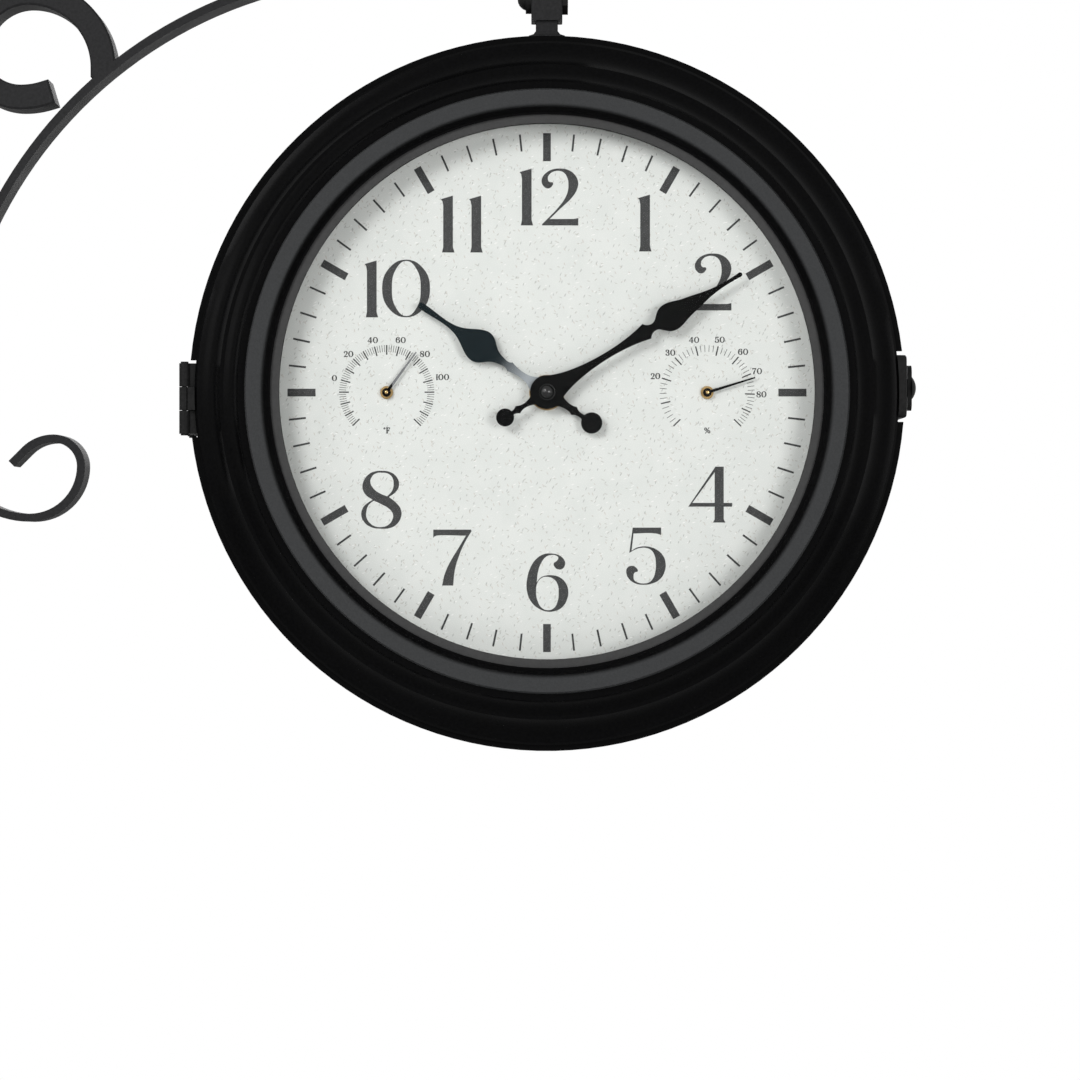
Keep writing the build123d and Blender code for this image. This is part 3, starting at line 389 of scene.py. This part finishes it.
def ramp(tree, factor, low, high, start=0.3, end=0.7):
    """Two-colour ramp between two stops."""
    made = tree.nodes.new("ShaderNodeValToRGB")
    first, last = made.color_ramp.elements
    first.position = start
    last.position = end
    first.color = (*low, 1)
    last.color = (*high, 1)
    tree.links.new(factor, made.inputs["Fac"])
    return made.outputs["Color"]


def spread(tree, factor, low, high, start=0.3, end=0.7):
    made = add_node(tree, "ShaderNodeMapRange", From_Min=start, From_Max=end, To_Min=low, To_Max=high)
    tree.links.new(factor, made.inputs["Value"])
    return made.outputs["Result"]


def bump(tree, shader, height, depth, strength=0.5):
    made = add_node(tree, "ShaderNodeBump", Strength=strength, Distance=depth)
    tree.links.new(height, made.inputs["Height"])
    tree.links.new(made.outputs["Normal"], shader.inputs["Normal"])


def axis_reach(tree, centre):
    """Distance from a front-to-back axis."""
    reach = add_node(tree, "ShaderNodeVectorMath", {"operation": "DISTANCE"})
    reach.inputs[1].default_value = (centre.x, 0, centre.z)
    tree.links.new(coordinates(tree, scale=(1, 0, 1)), reach.inputs[0])
    return reach.outputs["Value"]


def blend(tree, factor, ground, top):
    """One colour over another, by a factor; the upper one is a socket or a plain colour."""
    mixer = add_node(tree, "ShaderNodeMix", {"data_type": "RGBA"})
    tree.links.new(factor, mixer.inputs["Factor"])
    tree.links.new(ground, mixer.inputs["A"])
    if isinstance(top, tuple):
        mixer.inputs["B"].default_value = (*top, 1)
    else:
        tree.links.new(top, mixer.inputs["B"])
    return mixer.outputs["Result"]


def times(tree, first, second):
    made = add_node(tree, "ShaderNodeMath", {"operation": "MULTIPLY"})
    tree.links.new(first, made.inputs[0])
    tree.links.new(second, made.inputs[1])
    return made.outputs["Value"]


def paint(name, low, high, roughness, gloss, peel=0.00001):
    """Powder coat: faint mottling, uneven sheen and orange peel."""
    material, tree, shader = start_material(name)
    tree.links.new(ramp(tree, noise(tree, 700), low, high), shader.inputs["Base Color"])
    rough = spread(tree, noise(tree, 60), roughness - 0.04, roughness + 0.04)
    tree.links.new(rough, shader.inputs["Roughness"])
    shader.inputs["Specular IOR Level"].default_value = gloss
    bump(tree, shader, noise(tree, 1100, 2.0), peel)
    return material


def bezel_paint(name, low, high, ring, roughness, gloss):
    """Black powder coat, with a painted highlight on the flat front ring: a lighter satin graphite colour
    stands in for the sheen there.
    """
    material = paint(name, low, high, roughness, gloss)
    tree = material.node_tree
    shader = tree.nodes["Principled BSDF"]
    ground = shader.inputs["Base Color"].links[0].from_socket
    reach = axis_reach(tree, head_centre())
    inner = spread(tree, reach, 0.0, 1.0, *RING_INSIDE)
    outer = spread(tree, reach, 1.0, 0.0, *RING_OUTSIDE)
    # painted highlight: a lighter graphite colour, mottled a little, between the ring radii, where the flat
    # front ring catches the lamps' sheen
    painted_sheen = ramp(tree, noise(tree, 1500), ring, tuple(1.25 * part for part in ring))
    tree.links.new(blend(tree, times(tree, inner, outer), ground, painted_sheen), shader.inputs["Base Color"])
    return material


def metal(name, low, high, roughness):
    """Bare or plated metal with faint tarnish and fine scratches."""
    material, tree, shader = start_material(name)
    tree.links.new(ramp(tree, noise(tree, 400), low, high), shader.inputs["Base Color"])
    rough = spread(tree, noise(tree, 900), roughness - 0.06, roughness + 0.08)
    tree.links.new(rough, shader.inputs["Roughness"])
    shader.inputs["Metallic"].default_value = 1.0
    scratches = noise(tree, 500, 2.0, coordinates(tree, scale=(1, 1, 9)))
    bump(tree, shader, scratches, 0.00001)
    return material


def plastic(name, low, high, roughness):
    """Moulded plastic with a fine spark-eroded grain."""
    material, tree, shader = start_material(name)
    tree.links.new(ramp(tree, noise(tree, 300), low, high), shader.inputs["Base Color"])
    tree.links.new(spread(tree, noise(tree, 1500), roughness - 0.05, roughness + 0.05),
                   shader.inputs["Roughness"])
    bump(tree, shader, noise(tree, 2600, 1.0), 0.00002)
    return material


def flat_dial(tree):
    """Coordinates with the dial's own plane as their first two axes."""
    return coordinates(tree, turn=(math.radians(90), 0, 0))


def fibre_mask(tree, turn, seed):
    """Short dashes of paper fibre lying roughly one way, one in each cell."""
    mapping = add_node(tree, "ShaderNodeMapping", {"vector_type": "TEXTURE"}, Location=(seed, seed, 0),
                       Rotation=(0, 0, turn), Scale=(FIBRE_CELL, FIBRE_CELL / FIBRE_ASPECT, 1))
    tree.links.new(flat_dial(tree), mapping.inputs["Vector"])
    bent = add_node(tree, "ShaderNodeVectorMath", {"operation": "MULTIPLY_ADD"})
    bent.inputs[1].default_value = (0.3, 0.6, 0)
    tree.links.new(noise(tree, 130), bent.inputs[0])
    tree.links.new(mapping.outputs["Vector"], bent.inputs[2])
    cells = add_node(tree, "ShaderNodeTexVoronoi", {"voronoi_dimensions": "2D"}, Scale=1.0)
    tree.links.new(bent.outputs["Vector"], cells.inputs["Vector"])
    return spread(tree, cells.outputs["Distance"], 1.0, 0.0, start=FIBRE_CORE, end=FIBRE_EDGE)


def blued_steel():
    """Hour hand: black tail, and a blade with a painted sheen that goes from pale at the hub to blue-black.
    """
    material, tree, shader = start_material("hour_hand_paint")
    hub = head_centre()
    # painted sheen: a pale colour at the blade's root that fades with distance from the hub into the hand's
    # own blue-black
    blade = ramp(tree, axis_reach(tree, hub), ROOT_SHEEN_COLOUR, BLUE_BLACK, *ROOT_SHEEN_REACH)
    tail = ramp(tree, noise(tree, 700), (0.002, 0.002, 0.002), (0.005, 0.005, 0.005))
    parts = tree.nodes.new("ShaderNodeSeparateXYZ")
    tree.links.new(coordinates(tree), parts.inputs[0])
    # keeps the painted sheen above the hub and off the black tail
    above = spread(tree, parts.outputs["Z"], 0.0, 1.0, hub.z - HUB_LINE, hub.z + HUB_LINE)
    tree.links.new(blend(tree, above, tail, blade), shader.inputs["Base Color"])
    tree.links.new(spread(tree, noise(tree, 500), 0.32, 0.42), shader.inputs["Roughness"])
    shader.inputs["Specular IOR Level"].default_value = 0.06
    bump(tree, shader, noise(tree, 900, 2.0), 0.00001)
    return material


def minute_lacquer():
    """Minute hand and cap nut: black lacquer, polished on the nut at the middle."""
    material = paint("minute_hand_paint", (0.003, 0.003, 0.003), (0.006, 0.006, 0.006), 0.4, 0.0, 0.000003)
    tree = material.node_tree
    shader = tree.nodes["Principled BSDF"]
    polish = spread(tree, axis_reach(tree, head_centre()), 1.0, 0.0, *CAP_POLISH)
    tree.links.new(spread(tree, polish, 0.40, 0.13, 0.0, 1.0), shader.inputs["Roughness"])
    tree.links.new(spread(tree, polish, 0.02, 0.45, 0.0, 1.0), shader.inputs["Specular IOR Level"])
    return material


def needle_steel():
    """Thermometer needle: grey steel with a blackened hub."""
    material = metal("gray_needle", (0.12, 0.125, 0.13), (0.2, 0.205, 0.21), 0.45)
    tree = material.node_tree
    shader = tree.nodes["Principled BSDF"]
    ground = shader.inputs["Base Color"].links[0].from_socket
    black = ramp(tree, noise(tree, 700), (0.003, 0.003, 0.003), (0.006, 0.006, 0.006))
    reach = axis_reach(tree, head_centre())
    middle = INSTRUMENT_X * MM
    inner = spread(tree, reach, 0.0, 1.0, middle - NEEDLE_HUB[1], middle - NEEDLE_HUB[0])
    outer = spread(tree, reach, 1.0, 0.0, middle + NEEDLE_HUB[0], middle + NEEDLE_HUB[1])
    tree.links.new(blend(tree, times(tree, inner, outer), ground, black), shader.inputs["Base Color"])
    return material


def dial_paper():
    """Warm grey-white card with dark and light fibres in it."""
    material, tree, shader = start_material("dial_print")
    colour = ramp(tree, noise(tree, 90, 4.0), (0.715, 0.74, 0.71), (0.755, 0.775, 0.745))
    for turn, seed, tint in ((0.3, 0.17, (0.56, 0.56, 0.52)), (1.1, 0.42, (0.60, 0.57, 0.52)),
                             (1.9, 0.79, (0.46, 0.47, 0.45)), (2.7, 0.26, (0.90, 0.90, 0.88)),
                             (2.3, 0.61, (0.54, 0.54, 0.50))):
        colour = blend(tree, fibre_mask(tree, turn, seed), colour, tint)
    tree.links.new(colour, shader.inputs["Base Color"])
    tree.links.new(spread(tree, noise(tree, 200), 0.75, 0.9), shader.inputs["Roughness"])
    shader.inputs["Specular IOR Level"].default_value = 0.2
    bump(tree, shader, noise(tree, 1400, 4.0), 0.00002)
    return material


def ink():
    """Grey screen print, a little uneven."""
    material, tree, shader = start_material("dial_ink")
    tree.links.new(ramp(tree, noise(tree, 600, 4.0), (0.044, 0.045, 0.045), (0.066, 0.067, 0.067)),
                   shader.inputs["Base Color"])
    tree.links.new(spread(tree, noise(tree, 300), 0.6, 0.75), shader.inputs["Roughness"])
    shader.inputs["Specular IOR Level"].default_value = 0.2
    bump(tree, shader, noise(tree, 1400, 4.0), 0.00001)
    return material


def lens_glass():
    """Clear flat glass: a faint film that takes the highlights, with the odd smear."""
    material, tree, shader = start_material("lens_glass")
    shader.inputs["Base Color"].default_value = (0.01, 0.014, 0.013, 1)
    shader.inputs["Alpha"].default_value = 0.03
    tree.links.new(spread(tree, noise(tree, 14), 0.03, 0.09), shader.inputs["Roughness"])
    return material


def make_materials():
    black = (0.0012, 0.0012, 0.0013)
    coal = (0.0024, 0.0024, 0.0026)
    return {
        "bracket_paint": paint("bracket_paint", (0.018, 0.018, 0.0185), (0.025, 0.025, 0.026), 0.6, 0.04),
        # The third colour here is the painted highlight on the flat front ring of the bezel
        "case_paint": bezel_paint("case_paint", black, coal, (0.036, 0.037, 0.038), 0.27, 0.03),
        "hardware_paint": paint("hardware_paint", (0.006, 0.006, 0.006), (0.012, 0.012, 0.012), 0.55, 0.08),
        "cap_plastic": plastic("cap_plastic", (0.012, 0.012, 0.012), (0.02, 0.02, 0.02), 0.5),
        "lens_glass": lens_glass(),
        "gasket_rubber": plastic("gasket_rubber", (0.011, 0.011, 0.011), (0.018, 0.018, 0.018), 0.7),
        "dial_print": dial_paper(),
        "zinc_steel": metal("zinc_steel", (0.50, 0.51, 0.52), (0.62, 0.63, 0.64), 0.35),
        "movement_plastic": plastic("movement_plastic", (0.014, 0.014, 0.015), (0.024, 0.024, 0.025), 0.45),
        "brass": metal("brass", (0.30, 0.20, 0.085), (0.42, 0.29, 0.13), 0.34),
        "battery_can": metal("battery_can", (0.56, 0.57, 0.58), (0.66, 0.67, 0.68), 0.28),
        "hour_hand_paint": blued_steel(),
        "minute_hand_paint": minute_lacquer(),
        "gray_needle": needle_steel(),
        "black_needle": paint("black_needle", black, coal, 0.45, 0.08),
    }


def dress_nodes(materials):
    for subpart in frame["record"]["subparts"]:
        mesh = frame["nodes"][subpart["node"]].data
        mesh.materials.clear()
        mesh.materials.append(materials[subpart["material_slot"]])


def print_dials():
    material = ink()
    for side in ("front", "rear"):
        add_print("numerals", numeral_loops(), side, material)
        add_print("hour_ticks", hour_tick_loops(), side, material)
        add_print("minute_ticks", minute_tick_loops(), side, material)
        add_print("thermometer_scale", thermometer_loops(), side, material, SMALL_PRINT_SPREAD)
        add_print("hygrometer_scale", hygrometer_loops(), side, material, SMALL_PRINT_SPREAD)


def add_pivot(gauge, side, material):
    """The pivot's end, a low brass cone that stands just proud of the needle's hub."""
    low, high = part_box(f"{gauge}_body_{side}")
    centre_x = (low[0] + high[0]) / 2
    centre_z = (low[2] + high[2]) / 2
    hub_low, hub_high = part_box(f"{gauge}_needle_{side}")
    facing = -1 if side == "front" else 1
    face = hub_low[1] if side == "front" else hub_high[1]
    points = [(centre_x, face + facing * PIVOT_RISE, centre_z)]
    for step in range(PIVOT_STEPS):
        angle = math.tau * step / PIVOT_STEPS
        points.append((centre_x + PIVOT_R * math.cos(angle), face + facing * PRINT_LIFT,
                       centre_z - facing * PIVOT_R * math.sin(angle)))
    faces = [(0, 1 + step, 1 + (step + 1) % PIVOT_STEPS) for step in range(PIVOT_STEPS)]
    mesh = bpy.data.meshes.new(f"{gauge}_pivot_{side}")
    mesh.from_pydata(points, [], faces)
    mesh.materials.append(material)
    piece = bpy.data.objects.new(f"{gauge}_pivot_{side}", mesh)
    bpy.context.scene.collection.objects.link(piece)
    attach(piece, side + "_face")


def add_pivots(material):
    for side in ("front", "rear"):
        for gauge in ("thermometer", "hygrometer"):
            add_pivot(gauge, side, material)


# Studio

def add_lamp(name, place, size, power, target):
    lamp = bpy.data.lights.new(name, "AREA")
    lamp.size = size
    lamp.energy = power
    made = bpy.data.objects.new(name, lamp)
    made.location = target + Vector(place)
    made.rotation_euler = (target - made.location).to_track_quat("-Z", "Y").to_euler()
    bpy.context.scene.collection.objects.link(made)


def add_floor(centre):
    reach = FLOOR_REACH
    height = centre.z - FLOOR_DROP
    corners = [(-reach, -reach, height), (reach, -reach, height), (reach, reach, height),
               (-reach, reach, height)]
    mesh = bpy.data.meshes.new("floor")
    mesh.from_pydata(corners, [], [(0, 1, 2, 3)])
    material, tree, shader = start_material("floor")
    tree.links.new(ramp(tree, noise(tree, 3), (0.80, 0.80, 0.80), (0.83, 0.83, 0.83)),
                   shader.inputs["Base Color"])
    shader.inputs["Roughness"].default_value = 0.9
    mesh.materials.append(material)
    floor = bpy.data.objects.new("floor", mesh)
    bpy.context.scene.collection.objects.link(floor)


def set_world():
    """Soft grey light on the object, and plain white wherever the background is seen."""
    world = bpy.data.worlds.new("studio")
    world.use_nodes = True
    tree = world.node_tree
    tree.nodes.clear()
    light = add_node(tree, "ShaderNodeBackground", Color=(1, 1, 1, 1), Strength=WORLD_LIGHT)
    white = add_node(tree, "ShaderNodeBackground", Color=(1, 1, 1, 1), Strength=1.0)
    path = tree.nodes.new("ShaderNodeLightPath")
    seen = path.outputs["Is Camera Ray"]
    for name in ("Is Glossy Ray", "Is Transmission Ray"):
        either = add_node(tree, "ShaderNodeMath", {"operation": "MAXIMUM"})
        tree.links.new(seen, either.inputs[0])
        tree.links.new(path.outputs[name], either.inputs[1])
        seen = either.outputs["Value"]
    mixer = tree.nodes.new("ShaderNodeMixShader")
    tree.links.new(seen, mixer.inputs["Fac"])
    tree.links.new(light.outputs["Background"], mixer.inputs[1])
    tree.links.new(white.outputs["Background"], mixer.inputs[2])
    output = tree.nodes.new("ShaderNodeOutputWorld")
    tree.links.new(mixer.outputs["Shader"], output.inputs["Surface"])
    bpy.context.scene.world = world


def add_camera(centre):
    data = bpy.data.cameras.new("camera")
    data.sensor_width = SENSOR
    data.lens = SENSOR * CAMERA_DISTANCE / FRAME_WIDTH
    camera = bpy.data.objects.new("camera", data)
    camera.location = (centre.x + CAMERA_OFFSET[0], -CAMERA_DISTANCE, centre.z + CAMERA_OFFSET[1])
    camera.rotation_euler = (math.radians(90), 0, 0)
    bpy.context.scene.collection.objects.link(camera)
    bpy.context.scene.camera = camera


materials = make_materials()
dress_nodes(materials)
print_dials()
add_pivots(materials["brass"])

centre = head_centre()
add_floor(centre)
set_world()
add_lamp("key", (-1.05, -1.75, 0.85), 0.8, 25, centre)
add_lamp("fill", (1.15, -1.85, 0.1), 0.8, 17, centre)
add_lamp("side", (-1.7, -0.9, 0.5), 0.7, 5, centre)
add_lamp("rear", (0.0, 2.0, 0.5), 1.0, 14, centre)
add_camera(centre)
bpy.context.scene.view_settings.view_transform = "Standard"
